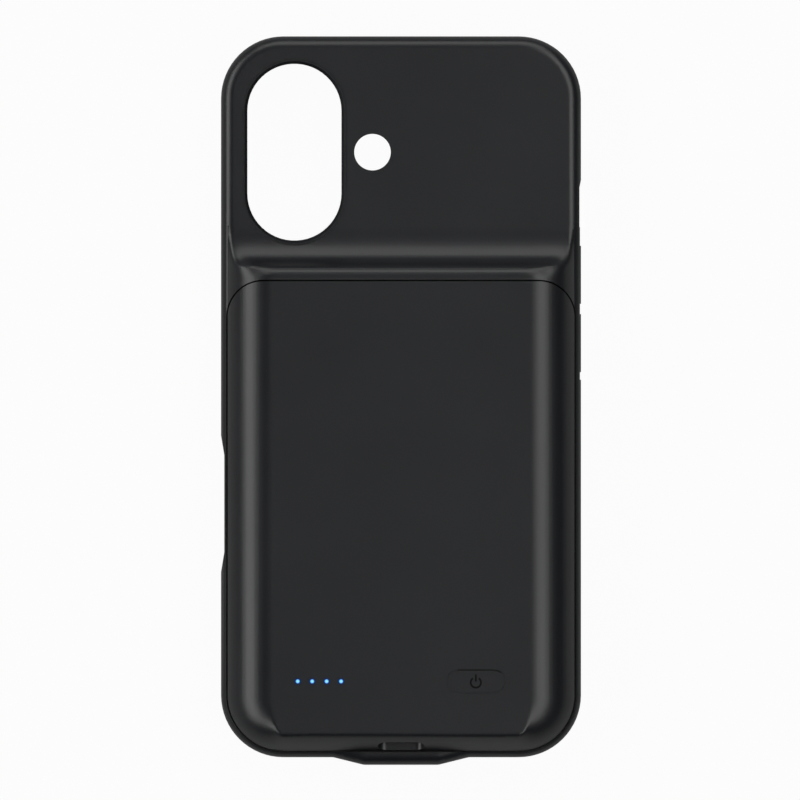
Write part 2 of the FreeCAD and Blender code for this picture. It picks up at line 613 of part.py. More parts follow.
def cut_left_side(bumper):
    """Key opening and touch key scallop in the left wall."""
    outside = f"-({SIDE} + wall)"
    floor = f"-({SIDE} - scallop_depth)"
    bumper.pocket("0", PLATEAU_Z, lambda profile: profile.polygon([
        (outside, f"{TOUCH_SLOT_Y} - scallop_flat / 2 - 2 * scallop_run"),
        (f"-{SIDE}", f"{TOUCH_SLOT_Y} - scallop_flat / 2 - scallop_run"),
        (floor, f"{TOUCH_SLOT_Y} - scallop_flat / 2"), (floor, f"{TOUCH_SLOT_Y} + scallop_flat / 2"),
        (f"-{SIDE}", f"{TOUCH_SLOT_Y} + scallop_flat / 2 + scallop_run"),
        (outside, f"{TOUCH_SLOT_Y} + scallop_flat / 2 + 2 * scallop_run")]))
    bumper.pocket(outside, f"-{POCKET_SIDE}", lambda profile: profile.stadium(
        TOUCH_SLOT_Y, KEY_Z, "touch_slot_length", "slot_height"), "YZ_Plane")
    bumper.pocket(outside, f"-{POCKET_SIDE}", lambda profile: profile.centred(
        SIDE_KEY_Y, KEY_Z, "side_key_length + 2 * key_gap", "key_height + 2 * key_gap"), "YZ_Plane")
    bumper.pocket(f"-({KEY_FLANGE_OUTER} + run_gap)", f"-{POCKET_SIDE}", lambda profile: profile.centred(
        SIDE_KEY_Y, KEY_Z, "side_key_length + 2 * (key_flange + key_gap)",
        "key_height + 2 * (key_flange + key_gap)"), "YZ_Plane")


def cut_right_side(bumper):
    """Two key openings and the upper key's scallop in the right wall."""
    outside = f"({SIDE} + wall)"
    field = f"({SIDE} - key_field_depth)"
    floor = f"({SIDE} - right_scallop_depth)"
    field_low = f"({VOLUME_DOWN_Y} - volume_key_length / 2 - key_field_margin)"
    scallop_low = f"({RIGHT_SLOT_Y} - right_scallop_flat / 2)"
    scallop_high = f"({RIGHT_SLOT_Y} + right_scallop_flat / 2)"
    bumper.pocket("0", PLATEAU_Z, lambda profile: profile.polygon([
        (outside, field_low), (field, field_low), (field, scallop_low), (floor, scallop_low),
        (floor, scallop_high), (SIDE, f"{scallop_high} + key_field_margin"),
        (outside, f"{scallop_high} + key_field_margin")]))
    bumper.pocket(POCKET_SIDE, outside, lambda profile: profile.stadium(
        RIGHT_SLOT_Y, KEY_Z, "right_slot_length", "slot_height"), "YZ_Plane")
    for centre in (VOLUME_UP_Y, VOLUME_DOWN_Y):
        bumper.pocket(POCKET_SIDE, outside, lambda profile: profile.centred(
            centre, KEY_Z, "volume_key_length + 2 * key_gap", "key_height + 2 * key_gap"), "YZ_Plane")
        bumper.pocket(POCKET_SIDE, f"{KEY_FLANGE_OUTER} + run_gap", lambda profile: profile.centred(
            centre, KEY_Z, "volume_key_length + 2 * (key_flange + key_gap)",
            "key_height + 2 * (key_flange + key_gap)"), "YZ_Plane")


def cut_bottom(bumper):
    """Sound slots, the plug block's seat and the flat lead's channel in the bottom wall."""
    below = f"({LIP_TIP} - wall)"
    bumper.pocket(below, POCKET_BOTTOM, lambda profile: profile.stadium(
        "-sound_x", KEY_Z, "sound_length", "slot_height").stadium(
        "sound_x", KEY_Z, "sound_length", "slot_height"), "XZ_Plane")
    bumper.pocket(PLUG_BASE, POCKET_BOTTOM, lambda profile: profile.centred(
        "0", KEY_Z, "block_width", "block_height"), "XZ_Plane")
    bumper.pocket(f"{KEY_Z} + block_height / 2", PLATE_Z, lambda profile: profile.box(
        "-(flex_half_width + flex_play)", "flex_half_width + flex_play",
        f"{FLEX_WALL_Y} - flex_thick - flex_play", POCKET_BOTTOM))


def make_inner_plate():
    """Plate between phone and battery, on the bumper's ledge and under its camera end, with board pegs."""
    plate = Piece("inner_plate")
    plate.pad(PLATE_Z, BAY_Z, outline(
        f"({SEAM_SIDE} - plate_fit)", f"{SEAM_BOTTOM} + plate_fit", f"{TUCK_TOP} - plate_fit",
        f"{SEAM_CORNER} - plate_fit", f"{TUCK_CORNER} - plate_fit"))
    low = f"({BOARD_BOTTOM} + board_peg_inset)"
    high = f"({BOARD_TOP_Y} - board_peg_inset)"
    side = f"({BOARD_SIDE} - board_peg_inset)"

    def pegs(profile):
        for x in (f"-{side}", side):
            for y in (low, high):
                profile.circle(x, y, "peg_width")

    plate.pad(BAY_Z, BOARD_Z, pegs)
    reach = "(flex_half_width + flex_play)"
    plate.pocket(PLATE_Z, f"{FLEX_Z} + flex_thick + flex_play", lambda profile: profile.box(
        f"-{reach}", reach, f"{SEAM_BOTTOM} - wall", f"{FLEX_RISE_Y} + flex_thick + flex_play"))
    plate.pocket(PLATE_Z, BAY_Z, lambda profile: profile.box(
        f"-{reach}", reach, f"{FLEX_RISE_Y} - flex_play", f"{FLEX_RISE_Y} + flex_thick + flex_play"))
    return plate


def make_back_cover():
    """Shell over the battery, with round flanks, a leaning bottom face and its openings."""
    cover = Piece("back_cover")
    edge = outline(COVER_SIDE, COVER_BOTTOM, COVER_TOP, COVER_CORNER, COVER_TOP_CORNER)
    cover.pad(BAY_Z, COVER_EDGE_Z, edge)
    cover.loft("AdditiveLoft", [
        (COVER_EDGE_Z, edge),
        (FLAT_Z, outline(COVER_SIDE, FLAT_BOTTOM, COVER_TOP, "tail_corner", COVER_TOP_CORNER))])
    cover.pocket(f"{COVER_BOTTOM} - wall", f"{COVER_TOP} + wall", beside_flanks, "XZ_Plane")
    cavity = cavity_sections()
    cover.loft("SubtractiveLoft", cavity)
    cover.pocket(BAY_Z, *cavity[0])
    cover.pocket(f"{CEILING_Z} - cover_wall", f"{FLAT_Z} + wall", lambda profile: profile.stadium(
        BUTTON_X, PANEL_Y, "button_length + 2 * button_gap", "button_width + 2 * button_gap"))

    def light_holes(profile):
        for index in LIGHTS:
            profile.circle(light_x(index), PANEL_Y, "light_width + 2 * light_fit")

    cover.pocket(f"{CEILING_Z} - cover_wall", f"{FLAT_Z} + wall", light_holes)
    cover.pocket(f"{BOTTOM} - wall", f"{BOARD_BOTTOM} + cover_wall", lambda profile: profile.stadium(
        "0", SOCKET_Z, "port_width", "port_height"), "XZ_Plane")
    return cover


def make_key(name, centre, length, sign):
    """Key cover in a side wall: a flush face and a flange that keeps it behind the wall."""
    key = Piece(name)
    outer, inner, flange = (f"{sign}{level}" for level in (SIDE, KEY_INNER, KEY_FLANGE_OUTER))
    face_span = (inner, outer) if sign == "" else (outer, inner)
    flange_span = (inner, flange) if sign == "" else (flange, inner)
    key.pad(*face_span, lambda profile: profile.centred(centre, KEY_Z, length, "key_height"), "YZ_Plane")
    key.pad(*flange_span, lambda profile: profile.centred(
        centre, KEY_Z, f"{length} + 2 * key_flange", "key_height + 2 * key_flange"), "YZ_Plane")
    return key


def make_power_button():
    """Pill-shaped button with a flange under the cover and a stem down to the switch."""
    button = Piece("power_button")
    button.pad(FLANGE_TOP_Z, BUTTON_TOP_Z, lambda profile: profile.stadium(
        BUTTON_X, PANEL_Y, "button_length", "button_width"))
    button.pad(FLANGE_Z, FLANGE_TOP_Z, lambda profile: profile.stadium(
        BUTTON_X, PANEL_Y, "button_length + 2 * (button_gap + button_flange)",
        "button_width + 2 * (button_gap + button_flange)"))
    button.pad(PLUNGER_TOP_Z, FLANGE_Z, lambda profile: profile.circle(BUTTON_X, PANEL_Y, "button_stem"))
    return button


def make_block(name, low, high, draw, role="XY_Plane"):
    """A piece of one padded outline."""
    piece = Piece(name)
    piece.pad(low, high, draw, role)
    return piece


def make_battery():
    """Cell with its adhesive, cushion, tabs, protection board and leads."""
    cell = make_block("battery_cell", CELL_Z, CELL_TOP_Z, lambda profile: profile.rounded(
        f"-{CELL_SIDE}", CELL_SIDE, CELL_BOTTOM, CELL_TOP_Y, "cell_corner"))
    for name, low, high, margin in (
            ("cell_adhesive", BAY_Z, CELL_Z, "adhesive_margin"),
            ("cell_cushion", CELL_TOP_Z, f"{CEILING_Z} - cushion_play", "cushion_margin")):
        make_block(name, low, high, lambda profile: profile.box(
            f"-({CELL_SIDE} - {margin})", f"{CELL_SIDE} - {margin}",
            f"{CELL_BOTTOM} + {margin}", f"{CELL_TOP_Y} - {margin}"))
    make_block("cell_tabs", BOARD_TOP_Z, f"{BOARD_TOP_Z} + tab_thick", lambda profile: profile.box(
        "-tab_x - tab_width / 2", "-tab_x + tab_width / 2", f"{GUARD_Y} - tab_length / 2", CELL_BOTTOM).box(
        "tab_x - tab_width / 2", "tab_x + tab_width / 2", f"{GUARD_Y} - tab_length / 2", CELL_BOTTOM))
    make_block("protection_board", f"{BOARD_TOP_Z} - guard_thick", BOARD_TOP_Z, lambda profile: profile.box(
        "-guard_half_width", "guard_half_width", f"{GUARD_Y} - guard_length", GUARD_Y))
    for name, x in (("red_lead", "lead_x"), ("black_lead", "-lead_x")):
        make_block(name, f"{BOARD_TOP_Y} - lead_overlap", f"{GUARD_Y} - guard_length + lead_overlap",
                   lambda profile: profile.circle(x, f"{BOARD_TOP_Z} + lead_width / 2", "lead_width"),
                   "XZ_Plane")
    return cell


def make_electronics():
    """Main board with the parts that stand on it."""
    make_block("main_board", BOARD_Z, BOARD_TOP_Z, lambda profile: profile.box(
        f"-{BOARD_SIDE}", BOARD_SIDE, BOARD_BOTTOM, BOARD_TOP_Y))
    switch = make_block("switch_body", BOARD_TOP_Z, SWITCH_TOP_Z, lambda profile: profile.centred(
        BUTTON_X, PANEL_Y, "switch_width", "switch_width"))
    plunger_low = f"({SWITCH_TOP_Z} - plunger_depth)"
    switch.pocket(f"{plunger_low} - 2 * key_travel", SWITCH_TOP_Z, lambda profile: profile.circle(
        BUTTON_X, PANEL_Y, "plunger_width + 2 * plunger_fit"))
    make_block("switch_plunger", plunger_low, PLUNGER_TOP_Z, lambda profile: profile.circle(
        BUTTON_X, PANEL_Y, "plunger_width"))

    def led_chips(profile):
        for index in LIGHTS:
            profile.centred(light_x(index), PANEL_Y, "led_width", "led_width")

    make_block("status_leds", BOARD_TOP_Z, LED_TOP_Z, led_chips)
    bar_top = f"({LIGHT_BAR_Z} + light_bar_thick)"
    guide = make_block("light_guide", LIGHT_BAR_Z, bar_top, lambda profile: profile.box(
        f"{light_x(0)} - light_bar_margin", f"{light_x(3)} + light_bar_margin",
        f"{PANEL_Y} - light_bar_margin", f"{PANEL_Y} + light_bar_margin"))

    def pins(profile):
        for index in LIGHTS:
            profile.circle(light_x(index), PANEL_Y, "light_width")

    guide.pad(bar_top, FLAT_Z, pins)
    chip_x = f"({light_x(3)} + light_bar_margin + chip_gap + chip_width / 2)"
    make_block("controller_chip", BOARD_TOP_Z, f"{BOARD_TOP_Z} + chip_height",
               lambda profile: profile.centred(chip_x, PANEL_Y, "chip_width", "chip_width"))
    coil_x = f"(({chip_x} + chip_width / 2 + {BUTTON_X} - switch_width / 2) / 2)"
    make_block("boost_inductor", BOARD_TOP_Z, f"{BOARD_TOP_Z} + coil_height", lambda profile: profile.centred(
        coil_x, PANEL_Y, "coil_width", "coil_width"))

    def capacitors(profile):
        for index in CAPACITORS:
            profile.centred(f"{CAPACITOR_X} + {index - 1} * capacitor_pitch", CAPACITOR_Y,
                            "capacitor_width", "capacitor_length")

    make_block("board_capacitors", BOARD_TOP_Z, f"{BOARD_TOP_Z} + capacitor_height", capacitors)


def make_charge_socket():
    """Folded shell open at the bottom end, with a tongue on a moulded back."""
    back = f"{SOCKET_MOUTH} + socket_length"
    shell = make_block("charge_socket_shell", SOCKET_MOUTH, back, lambda profile: profile.stadium(
        "0", SOCKET_Z, "socket_width", "socket_height"), "XZ_Plane")
    shell.pocket(SOCKET_MOUTH, back, lambda profile: profile.stadium(
        "0", SOCKET_Z, "socket_width - 2 * socket_wall", "socket_height - 2 * socket_wall"), "XZ_Plane")
    tongue = make_block(
        "charge_socket_tongue", f"{back} - socket_back", back, lambda profile: profile.stadium(
            "0", SOCKET_Z, "socket_width - 2 * socket_wall", "socket_height - 2 * socket_wall"), "XZ_Plane")
    tongue.pad(f"{SOCKET_MOUTH} + tongue_setback", f"{back} - socket_back", lambda profile: profile.centred(
        "0", SOCKET_Z, "tongue_width", "tongue_thick"), "XZ_Plane")


def make_phone_plug():
    """Plug that stands in the phone pocket, the block that carries it and the flat lead to the board."""
    tip = f"({POCKET_BOTTOM} + plug_length)"
    shell = make_block("phone_plug_shell", PLUG_BASE, tip, lambda profile: profile.stadium(
        "0", KEY_Z, "plug_width", "plug_height"), "XZ_Plane")
    shell.pocket(PLUG_BASE, tip, lambda profile: profile.stadium(
        "0", KEY_Z, "plug_width - 2 * socket_wall", "plug_height - 2 * socket_wall"), "XZ_Plane")
    insert = make_block(
        "phone_plug_insert", PLUG_BASE, f"{tip} - socket_wall", lambda profile: profile.stadium(
            "0", KEY_Z, "plug_width - 2 * socket_wall", "plug_height - 2 * socket_wall"), "XZ_Plane")
    insert.pocket(f"{tip} - plug_mouth_depth", tip, lambda profile: profile.stadium(
        "0", KEY_Z, "plug_cavity", "plug_mouth"), "XZ_Plane")
    block = make_block("plug_block", PLUG_BASE, POCKET_BOTTOM, lambda profile: profile.centred(
        "0", KEY_Z, "block_width", "block_height"), "XZ_Plane")
    block.pocket(PLUG_BASE, POCKET_BOTTOM, lambda profile: profile.stadium(
        "0", KEY_Z, "plug_width", "plug_height"), "XZ_Plane")
    low = f"({KEY_Z} + block_height / 2)"
    make_block("plug_flex", "-flex_half_width", "flex_half_width", lambda profile: profile.polygon([
        (FLEX_WALL_Y, low), (FLEX_WALL_Y, FLEX_Z), (f"{FLEX_RISE_Y} + flex_thick", FLEX_Z),
        (f"{FLEX_RISE_Y} + flex_thick", BOARD_Z), (FLEX_RISE_Y, BOARD_Z),
        (FLEX_RISE_Y, f"{FLEX_Z} + flex_thick"), (f"{FLEX_WALL_Y} - flex_thick", f"{FLEX_Z} + flex_thick"),
        (f"{FLEX_WALL_Y} - flex_thick", low)]), "YZ_Plane")


def check_and_write():
    """Stop on a failed feature or a bad solid, then write one file for each sub-part."""
    doc.recompute()
    for item in doc.Objects:
        if "Invalid" in item.State or "Error" in item.State:
            raise RuntimeError(f"{item.Label} failed: {item.State}")
        if item.TypeId in ("PartDesign::Pocket", "PartDesign::SubtractiveLoft"):
            if item.Shape.Volume >= item.BaseFeature.Shape.Volume - 1e-6:
                raise RuntimeError(f"{item.Label} cuts nothing")
    os.makedirs("parts", exist_ok=True)
    for piece in Piece.made:
        shape = piece.body.Shape
        if shape.isNull() or not shape.isValid():
            raise RuntimeError(f"{piece.body.Label} has a bad shape")
        print(f"{piece.body.Label}: {len(shape.Solids)} solids, {shape.Volume:.1f} mm3")
        shape.exportStep(f"parts/{piece.body.Label}.step")


make_bumper()
make_inner_plate()
make_back_cover()
make_key("side_key", SIDE_KEY_Y, "side_key_length", "-")
make_key("volume_up_key", VOLUME_UP_Y, "volume_key_length", "")
make_key("volume_down_key", VOLUME_DOWN_Y, "volume_key_length", "")
make_power_button()
make_battery()
make_electronics()
make_charge_socket()
make_phone_plug()
check_and_write()
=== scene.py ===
"""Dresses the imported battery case: finishes, shells with soft creases, small marks and the studio."""
from __future__ import annotations

import json
import logging
import math
from dataclasses import dataclass
from enum import Enum
from typing import Any, Mapping, Optional, Sequence, Union

import bmesh
import bpy
from mathutils import Matrix, Vector

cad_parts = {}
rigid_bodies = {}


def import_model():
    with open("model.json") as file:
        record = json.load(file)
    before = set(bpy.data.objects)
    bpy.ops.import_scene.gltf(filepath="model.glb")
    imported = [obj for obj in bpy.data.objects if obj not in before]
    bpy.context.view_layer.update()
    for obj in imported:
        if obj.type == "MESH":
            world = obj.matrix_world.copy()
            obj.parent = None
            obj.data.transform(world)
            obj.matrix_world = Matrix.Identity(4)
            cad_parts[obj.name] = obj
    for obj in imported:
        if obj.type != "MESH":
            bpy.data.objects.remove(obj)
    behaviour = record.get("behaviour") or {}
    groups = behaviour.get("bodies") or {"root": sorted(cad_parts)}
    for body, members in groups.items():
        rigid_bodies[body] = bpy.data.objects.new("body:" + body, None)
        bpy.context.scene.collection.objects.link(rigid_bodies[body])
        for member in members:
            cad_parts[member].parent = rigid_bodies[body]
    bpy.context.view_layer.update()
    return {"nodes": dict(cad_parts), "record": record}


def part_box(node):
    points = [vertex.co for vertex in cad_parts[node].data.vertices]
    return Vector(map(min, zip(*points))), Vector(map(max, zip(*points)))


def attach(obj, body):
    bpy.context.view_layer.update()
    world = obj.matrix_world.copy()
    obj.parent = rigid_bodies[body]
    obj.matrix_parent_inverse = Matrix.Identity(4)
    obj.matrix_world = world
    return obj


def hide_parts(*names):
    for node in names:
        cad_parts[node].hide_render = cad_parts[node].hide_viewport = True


LOG = logging.getLogger("battery_case")
MM = 0.001
CASE_BODY = "case"
BUTTON_BODY = "power_button"
NOISE_MIDDLE = 0.5
# Places of the sockets that a Mix node uses for colours.
MIX_FACTOR, MIX_FIRST, MIX_SECOND, MIX_RESULT = 0, 6, 7, 2

Colour = tuple[float, float, float]
Number = Union["Socket", float]


class Socket:
    """An output socket, with the sums that the finishes write as expressions."""

    def __init__(self, graph: "Graph", output: bpy.types.NodeSocket) -> None:
        """Keeps the graph that new nodes go into and the socket itself."""
        self.graph = graph
        self.output = output

    def _sum(self, operation: str, first: Number, second: Number) -> "Socket":
        """Adds one Math node.

        Args:
            operation: the Math node's operation.
            first: the left value or socket.
            second: the right value or socket.

        Returns:
            The node's result.
        """
        return self.graph.node("ShaderNodeMath", {"operation": operation}, {0: first, 1: second})

    def __add__(self, other: Number) -> "Socket":
        """Sum with a number or socket."""
        return self._sum("ADD", self, other)

    __radd__ = __add__

    def __sub__(self, other: Number) -> "Socket":
        """Difference with a number or socket."""
        return self._sum("SUBTRACT", self, other)

    def __rsub__(self, other: Number) -> "Socket":
        """Difference of a number and this socket."""
        return self._sum("SUBTRACT", other, self)

    def __mul__(self, other: Number) -> "Socket":
        """Product with a number or socket."""
        return self._sum("MULTIPLY", self, other)

    __rmul__ = __mul__

    def __truediv__(self, other: Number) -> "Socket":
        """Quotient with a number or socket."""
        return self._sum("DIVIDE", self, other)

    def __pow__(self, other: Number) -> "Socket":
        """Power of this socket."""
        return self._sum("POWER", self, other)

    def clamped(self) -> "Socket":
        """This value held between 0 and 1."""
        return self.graph.node("ShaderNodeClamp", {}, {"Value": self})


class Graph:
    """The node tree of one material."""

    def __init__(self, name: str) -> None:
        """Makes an empty material.

        Args:
            name: the material's name.
        """
        self.material = bpy.data.materials.new(name)
        self.material.use_nodes = True
        self.tree = self.material.node_tree
        self.tree.nodes.clear()

    def add(self, kind: str, settings: Optional[Mapping[str, Any]] = None,
            inputs: Optional[Mapping[Union[str, int], Any]] = None) -> bpy.types.Node:
        """Adds any node.

        Args:
            kind: the node's type.
            settings: properties that are set first.
            inputs: values or sockets for the node's inputs, by name or place.

        Returns:
            The node.
        """
        node = self.tree.nodes.new(kind)
        for key, value in (settings or {}).items():
            setattr(node, key, value)
        for key, value in (inputs or {}).items():
            if isinstance(value, Socket):
                self.tree.links.new(value.output, node.inputs[key])
            else:
                node.inputs[key].default_value = value
        return node

    def node(self, kind: str, settings: Optional[Mapping[str, Any]] = None,
             inputs: Optional[Mapping[Union[str, int], Any]] = None, output: Union[str, int] = 0) -> Socket:
        """Adds any node and gives one of its outputs.

        Args:
            kind: the node's type.
            settings: properties that are set first.
            inputs: values or sockets for the node's inputs, by name or place.
            output: the output to return, by name or place.

        Returns:
            The chosen output.
        """
        return Socket(self, self.add(kind, settings, inputs).outputs[output])

    def place(self) -> Socket:
        """Object coordinates, in metres."""
        return self.node("ShaderNodeTexCoord", {}, {}, "Object")

    def noise(self, where: Socket, grain: float, detail: float = 2.0, roughness: float = 0.5) -> Socket:
        """Noise with features of a given size.

        Args:
            where: the coordinates.
            grain: size of the features in metres.
            detail: octaves of the noise.
            roughness: weight of the finer octaves.

        Returns:
            The noise's value, from 0 to 1.
        """
        return self.node("ShaderNodeTexNoise", {}, {
            "Vector": where, "Scale": 1.0 / grain, "Detail": detail, "Roughness": roughness})

    def blend(self, share: Number, first: Any, second: Any) -> Socket:
        """Mix of two colours.

        Args:
            share: weight of the second colour.
            first: colour or socket at 0.
            second: colour or socket at 1.

        Returns:
            The mixed colour.
        """
        def whole(colour: Any) -> Any:
            """A colour with its alpha, or the socket as it is."""
            return colour if isinstance(colour, Socket) else (*colour, 1.0)

        return self.node("ShaderNodeMix", {"data_type": "RGBA"}, {
            MIX_FACTOR: share, MIX_FIRST: whole(first), MIX_SECOND: whole(second)}, MIX_RESULT)

    def bump(self, height: Socket, distance: float, strength: float) -> Socket:
        """Normal from a height field.

        Args:
            height: the field, from 0 to 1.
            distance: its depth in metres.
            strength: the node's strength.

        Returns:
            The normal.
        """
        return self.node("ShaderNodeBump", {}, {"Height": height, "Distance": distance, "Strength": strength})

    def close(self, shader: Socket) -> bpy.types.Material:
        """Ends the tree in a shader.

        Args:
            shader: the shader of the surface.

        Returns:
            The material.
        """
        self.add("ShaderNodeOutputMaterial", {}, {"Surface": shader})
        return self.material

    def surface(self, inputs: Mapping[str, Any]) -> bpy.types.Material:
        """Ends the tree in one Principled shader.

        Args:
            inputs: values or sockets of the shader.

        Returns:
            The material.
        """
        return self.close(self.node("ShaderNodeBsdfPrincipled", {}, inputs))


def shaded(colour: Colour, factor: float) -> Colour:
    """A colour made lighter or darker by a factor."""
    return colour[0] * factor, colour[1] * factor, colour[2] * factor


@dataclass(frozen=True)
class SatinPlastic:
    """Moulded plastic with a fine eroded grain."""

    name: str
    colour: Colour
    roughness: float
    grain: float = 0.00022
    depth: float = 0.000012
    flow: float = 0.018
    dark: float = 0.86
    light: float = 1.18
    grain_share: float = 0.4
    grain_gloss: float = 0.12
    flow_gloss: float = 0.06

    def build(self) -> bpy.types.Material:
        """Builds the node tree.

        Returns:
            The material.
        """
        graph = Graph(self.name)
        where = graph.place()
        grain = graph.noise(where, self.grain, detail=3.0, roughness=0.6)
        flow = graph.noise(where, self.flow)
        tone = flow * (1.0 - self.grain_share) + grain * self.grain_share
        gloss = (grain - NOISE_MIDDLE) * self.grain_gloss + (flow - NOISE_MIDDLE) * self.flow_gloss
        return graph.surface({
            "Base Color": graph.blend(tone, shaded(self.colour, self.dark), shaded(self.colour, self.light)),
            "Roughness": gloss + self.roughness,
            "Normal": graph.bump(grain, self.depth, strength=0.6)})


@dataclass(frozen=True)
class Ink:
    """Matt printing ink that takes hardly any shine."""

    name: str
    colour: Colour
    grain: float = 0.00008
    light: float = 1.4
    roughness: float = 0.6
    gloss: float = 0.2

    def build(self) -> bpy.types.Material:
        """Builds the node tree.

        Returns:
            The material.
        """
        graph = Graph(self.name)
        grain = graph.noise(graph.place(), self.grain, detail=3.0, roughness=0.6)
        return graph.surface({
            "Base Color": graph.blend(grain, self.colour, shaded(self.colour, self.light)),
            "Roughness": grain * self.gloss + self.roughness,
            "Specular IOR Level": 0.08})


@dataclass(frozen=True)
class DrawnMetal:
    """Plated sheet with fine lines along its length."""

    name: str
    colour: Colour
    roughness: float = 0.24
    line: float = 0.00012
    stretch: float = 0.05
    depth: float = 0.000004
    gloss: float = 0.2
    tarnish: float = 0.0035
    dull: float = 0.82

    def build(self) -> bpy.types.Material:
        """Builds the node tree.

        Returns:
            The material.
        """
        graph = Graph(self.name)
        stretched = graph.node("ShaderNodeMapping", {}, {
            "Vector": graph.place(), "Scale": (1.0, self.stretch, 1.0)})
        lines = graph.noise(stretched, self.line, detail=3.0, roughness=0.6)
        tarnish = graph.noise(graph.place(), self.tarnish)
        return graph.surface({
            "Base Color": graph.blend(tarnish, self.colour, shaded(self.colour, self.dull)),
            "Metallic": 1.0,
            "Roughness": (lines - NOISE_MIDDLE) * self.gloss + self.roughness,
            "Normal": graph.bump(lines, self.depth, strength=0.4)})


@dataclass(frozen=True)
class Speckled:
    """Plain material with flecks: film, board, foam, ceramic or insulation."""

    name: str
    colour: Colour
    fleck: Colour
    grain: float
    roughness: float
    depth: float = 0.00001
    metallic: float = 0.0
    fleck_from: float = 0.52
    fleck_contrast: float = 6.0
    gloss: float = 0.15

    def build(self) -> bpy.types.Material:
        """Builds the node tree.

        Returns:
            The material.
        """
        graph = Graph(self.name)
        cells = graph.noise(graph.place(), self.grain, detail=3.0, roughness=0.65)
        share = ((cells - self.fleck_from) * self.fleck_contrast).clamped()
        return graph.surface({
            "Base Color": graph.blend(share, self.colour, self.fleck),
            "Metallic": self.metallic,
            "Roughness": (cells - NOISE_MIDDLE) * self.gloss + self.roughness,
            "Normal": graph.bump(cells, self.depth, strength=0.6)})


@dataclass(frozen=True)
class PinRow:
    """An even row of light pins along X."""

    first_x: float
    row_y: float
    pitch: float

    def distance(self, graph: Graph) -> Socket:
        """Distance from the nearest pin.

        Args:
            graph: the tree to add to.

        Returns:
            The distance in metres.
        """
        where = graph.place()
        x = graph.node("ShaderNodeSeparateXYZ", {}, {0: where}, "X")
        y = graph.node("ShaderNodeSeparateXYZ", {}, {0: where}, "Y")
        aside = graph.node("ShaderNodeMath", {"operation": "WRAP"}, {
            0: x - self.first_x, 1: self.pitch / 2.0, 2: -self.pitch / 2.0})
        off = y - self.row_y
        return (aside * aside + off * off) ** 0.5


@dataclass(frozen=True)
class LitLens:
    """Clear light pin that glows, palest in the middle of its tip."""

    name: str
    core: Colour
    rim: Colour
    row: PinRow
    radius: float
    strength: float = 1.05
    falloff: float = 1.6

    def build(self) -> bpy.types.Material:
        """Builds the node tree.

        Returns:
            The material.
        """
        graph = Graph(self.name)
        spread = self.row.distance(graph) / self.radius
        glow = graph.blend((spread ** self.falloff).clamped(), self.core, self.rim)
        return graph.surface({
            "Base Color": (*self.rim, 1.0), "Roughness": 0.2,
            "Emission Color": glow, "Emission Strength": self.strength})


@dataclass(frozen=True)
class LightSpill:
    """Thin film of light round a pin, fading outwards."""

    name: str
    colour: Colour
    row: PinRow
    inner: float
    outer: float
    strength: float = 1.0
    density: float = 0.75

    def build(self) -> bpy.types.Material:
        """Builds the node tree.

        Returns:
            The material.
        """
        graph = Graph(self.name)
        fade = (1.0 - (self.row.distance(graph) - self.inner) / (self.outer - self.inner)).clamped()
        return graph.surface({
            "Base Color": (0.0, 0.0, 0.0, 1.0), "Roughness": 0.6, "Specular IOR Level": 0.0,
            "Emission Color": (*self.colour, 1.0), "Emission Strength": self.strength,
            "Alpha": fade * fade * self.density})


